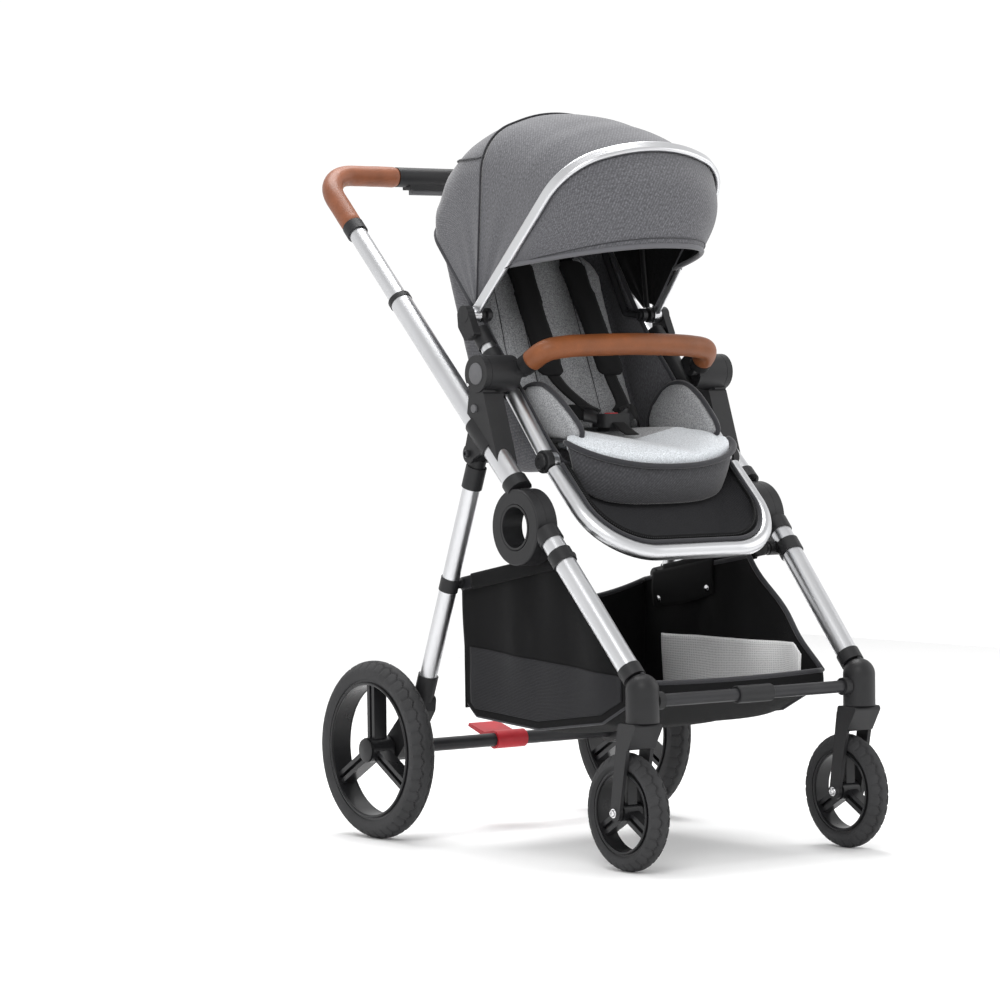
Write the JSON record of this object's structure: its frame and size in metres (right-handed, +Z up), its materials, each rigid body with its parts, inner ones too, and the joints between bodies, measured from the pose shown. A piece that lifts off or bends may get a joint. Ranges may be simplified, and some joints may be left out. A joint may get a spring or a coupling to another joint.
{
  "type": "baby stroller",
  "caption": "Folding baby stroller with a reversible seat, bumper bar, folding canopy, storage basket, telescoping push handle, swivelling front wheels and large rear wheels.",
  "frame": {"origin": "bottom centre of the bounding box: on the floor, midway between the left and right wheels", "axes": "+Z up; the stroller faces -Y, so the push handle is towards +Y; +X is towards the pusher's left-hand side"},
  "size_m": [0.569, 0.8919, 1.1592],
  "materials": {
    "silver_tube": "satin anodised",
    "black_plastic": "fine grained moulding",
    "black_metal": "satin powder coat",
    "steel": "turned",
    "rim_plastic": "semi-gloss moulding",
    "tyre": "foam filled with a grooved tread",
    "tan_leather": "stitched, fine grain",
    "grey_fabric": "twill",
    "pale_fabric": "knitted",
    "black_fabric": "coarse weave",
    "red_plastic": "smooth moulding",
    "grey_plastic": "smooth moulding"
  },
  "bodies": {
    "push_frame": {"push_tubes": "silver_tube", "tube_collars": "black_plastic", "hinge_uppers": "black_plastic", "hinge_bushings": "black_plastic", "leg_brackets": "black_plastic", "seat_sockets": "black_plastic", "seat_adapters": "black_plastic"},
    "handle": {"handle_tube": "silver_tube", "handle_grips": "tan_leather", "grip_collars": "black_plastic", "handle_sleeve": "black_plastic"},
    "fold_trigger": {"fold_trigger": "grey_plastic"},
    "front_legs": {"leg_tubes": "silver_tube", "hinge_lowers": "black_plastic", "caster_housings": "black_plastic", "cross_tube": "black_metal", "cross_coupler": "black_plastic", "link_brackets": "black_plastic"},
    "side_links": {"side_links": "black_metal"},
    "rear_legs": {"rear_leg_tubes": "silver_tube", "rear_leg_heads": "black_plastic", "axle_brackets": "black_plastic", "rear_axle": "black_metal", "basket": "black_fabric"},
    "brake_pedal": {"brake_pedal": "red_plastic"},
    "seat": {"seat_tubes": "silver_tube", "recline_hubs": "black_plastic", "footrest_hinges": "black_plastic", "canopy_brackets": "black_plastic", "back_frame": "black_metal", "seat_shell": "grey_fabric", "seat_pad": "pale_fabric", "harness": "black_fabric", "buckle": "black_plastic"},
    "buckle_button": {"buckle_button": "red_plastic"},
    "footrest": {"footrest_tube": "silver_tube", "footrest_panel": "black_fabric"},
    "canopy_mid": {"mid_bow": "black_plastic", "canopy_rear_panel": "grey_fabric"},
    "canopy_front": {"front_bow": "silver_tube", "canopy_front_panel": "grey_fabric", "visor": "grey_fabric"},
    "bumper": {"bumper_bar": "tan_leather", "bumper_holders": "black_plastic"},
    "right_recline_button": {"right_recline_button": "grey_plastic"},
    "right_release_button": {"right_release_button": "grey_plastic"},
    "right_caster": {"right_fork": "black_plastic", "right_front_axle": "steel"},
    "right_front_wheel": {"right_front_tyre": "tyre", "right_front_rim": "rim_plastic"},
    "right_rear_wheel": {"right_rear_tyre": "tyre", "right_rear_rim": "rim_plastic"},
    "left_recline_button": {"left_recline_button": "grey_plastic"},
    "left_release_button": {"left_release_button": "grey_plastic"},
    "left_caster": {"left_fork": "black_plastic", "left_front_axle": "steel"},
    "left_front_wheel": {"left_front_tyre": "tyre", "left_front_rim": "rim_plastic"},
    "left_rear_wheel": {"left_rear_tyre": "tyre", "left_rear_rim": "rim_plastic"}
  },
  "joints": [
    {"name": "fold", "type": "hinge", "parent": "push_frame", "child": "front_legs", "pos_m": [0, -0.123, 0.508], "axis": [1, 0, 0], "range_deg": [0, 100]},
    {"name": "rear_leg_pivot", "type": "hinge", "parent": "push_frame", "child": "rear_legs", "pos_m": [0, 0, 0.62], "axis": [1, 0, 0], "range_deg": [0, 45], "deforming": ["basket"]},
    {"name": "side_link_pivot", "type": "hinge", "parent": "front_legs", "child": "side_links", "pos_m": [0, -0.194, 0.462], "axis": [1, 0, 0], "range_deg": [-73, 0]},
    {"name": "handle_height", "type": "slide", "parent": "push_frame", "child": "handle", "axis": [0, 0.7254, 0.6883], "range_m": [-0.06, 0.02]},
    {"name": "fold_trigger_squeeze", "type": "slide", "parent": "handle", "child": "fold_trigger", "axis": [0, 0, 1], "range_m": [0, 0.0025], "stiffness_N_per_m": 700, "springref_m": -0.001},
    {"name": "brake_press", "type": "hinge", "parent": "rear_legs", "child": "brake_pedal", "pos_m": [0, 0.236, 0.143], "axis": [1, 0, 0], "range_deg": [-15, 0]},
    {"name": "seat_recline", "type": "hinge", "parent": "push_frame", "child": "seat", "pos_m": [0, -0.027, 0.744], "axis": [1, 0, 0], "range_deg": [-30, 0]},
    {"name": "buckle_button_press", "type": "slide", "parent": "seat", "child": "buckle_button", "axis": [0, 0, -1], "range_m": [0, 0.0025], "stiffness_N_per_m": 500, "springref_m": -0.001},
    {"name": "footrest_lift", "type": "hinge", "parent": "seat", "child": "footrest", "pos_m": [0, -0.12, 0.607], "axis": [1, 0, 0], "range_deg": [-25, 0]},
    {"name": "canopy_fold", "type": "hinge", "parent": "seat", "child": "canopy_mid", "pos_m": [0, 0.066, 0.838], "axis": [1, 0, 0], "range_deg": [-39, 0], "deforming": ["canopy_rear_panel"]},
    {"name": "canopy_bow_fold", "type": "hinge", "parent": "canopy_mid", "child": "canopy_front", "pos_m": [0, 0.066, 0.838], "axis": [1, 0, 0], "range_deg": [-36, 0], "deforming": ["canopy_front_panel"]},
    {"name": "bumper_swing", "type": "hinge", "parent": "seat", "child": "bumper", "pos_m": [0, -0.045, 0.751], "axis": [1, 0, 0], "range_deg": [-30, 0]},
    {"name": "right_recline_press", "type": "slide", "parent": "push_frame", "child": "right_recline_button", "axis": [1, 0, 0], "range_m": [0, 0.0025], "stiffness_N_per_m": 700, "springref_m": -0.001},
    {"name": "right_release_press", "type": "slide", "parent": "push_frame", "child": "right_release_button", "axis": [1, 0, 0], "range_m": [0, 0.0015], "stiffness_N_per_m": 500, "springref_m": -0.001},
    {"name": "right_caster_swivel", "type": "hinge", "parent": "front_legs", "child": "right_caster", "pos_m": [-0.214, -0.391, 0.25], "axis": [0, 0, 1], "continuous": true},
    {"name": "right_front_wheel_spin", "type": "hinge", "parent": "right_caster", "child": "right_front_wheel", "pos_m": [-0.216, -0.357, 0.089], "axis": [1, 0, 0], "continuous": true},
    {"name": "right_rear_wheel_spin", "type": "hinge", "parent": "rear_legs", "child": "right_rear_wheel", "pos_m": [-0.262, 0.236, 0.143], "axis": [1, 0, 0], "continuous": true},
    {"name": "left_recline_press", "type": "slide", "parent": "push_frame", "child": "left_recline_button", "axis": [-1, 0, 0], "range_m": [0, 0.0025], "stiffness_N_per_m": 700, "springref_m": -0.001},
    {"name": "left_release_press", "type": "slide", "parent": "push_frame", "child": "left_release_button", "axis": [-1, 0, 0], "range_m": [0, 0.0015], "stiffness_N_per_m": 500, "springref_m": -0.001},
    {"name": "left_caster_swivel", "type": "hinge", "parent": "front_legs", "child": "left_caster", "pos_m": [0.214, -0.391, 0.25], "axis": [0, 0, 1], "continuous": true},
    {"name": "left_front_wheel_spin", "type": "hinge", "parent": "left_caster", "child": "left_front_wheel", "pos_m": [0.216, -0.357, 0.089], "axis": [1, 0, 0], "continuous": true},
    {"name": "left_rear_wheel_spin", "type": "hinge", "parent": "rear_legs", "child": "left_rear_wheel", "pos_m": [0.262, 0.236, 0.143], "axis": [1, 0, 0], "continuous": true}
  ],
  "couplings": [
    {"joint": "rear_leg_pivot", "follows": "fold", "ratio": 0.441},
    {"joint": "side_link_pivot", "follows": "fold", "ratio": -0.726},
    {"joint": "canopy_bow_fold", "follows": "canopy_fold", "ratio": 0.91}
  ]
}
